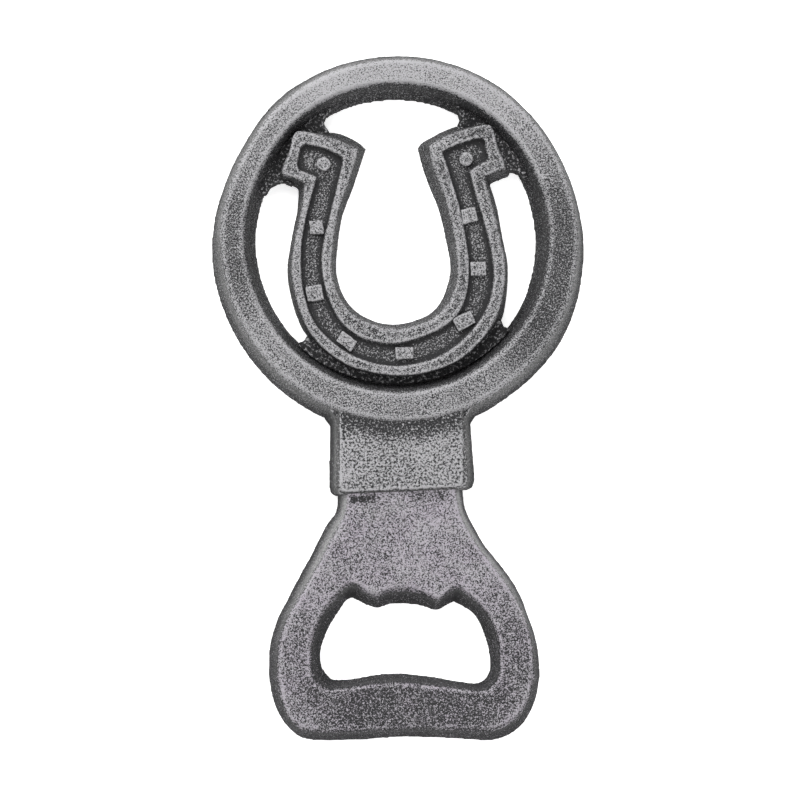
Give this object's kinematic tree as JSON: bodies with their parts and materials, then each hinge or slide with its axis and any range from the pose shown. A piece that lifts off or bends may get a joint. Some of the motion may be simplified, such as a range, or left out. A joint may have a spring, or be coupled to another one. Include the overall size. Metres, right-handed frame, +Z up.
{
  "type": "bottle opener",
  "caption": "Flat cast-iron bottle opener: a round ring with a raised horseshoe inside, a collar block, and a bell-shaped head with a toothed cap window.",
  "frame": {"origin": "middle of the bounding box of the flat back, which lies on the table", "axes": "+X to the right, +Y from the head towards the top of the ring, +Z up out of the front face"},
  "size_m": [0.0724, 0.1326, 0.009],
  "materials": {
    "iron_face": "charcoal cast skin, dry-brushed with pewter on the faces and edges",
    "iron_floor": "charcoal cast skin with a light dusting of pewter",
    "iron_nail": "pewter-rubbed cast skin",
    "iron_web": "rough dark cast skin, left unbrushed"
  },
  "bodies": {
    "root": {"ring": "iron_face", "shoe_arms": "iron_floor", "left_heel_pad": "iron_floor", "right_heel_pad": "iron_floor", "shoe_inner_rim": "iron_face", "shoe_outer_rim": "iron_face", "left_heel_rim": "iron_face", "right_heel_rim": "iron_face", "nail_heads": "iron_nail", "heel_nails": "iron_nail", "lower_web": "iron_web", "left_heel_web": "iron_web", "right_heel_web": "iron_web", "collar": "iron_face", "left_shoulder": "iron_face", "right_shoulder": "iron_face", "left_cheek": "iron_face", "right_cheek": "iron_face", "cross_bar": "iron_face"}
  },
  "joints": []
}
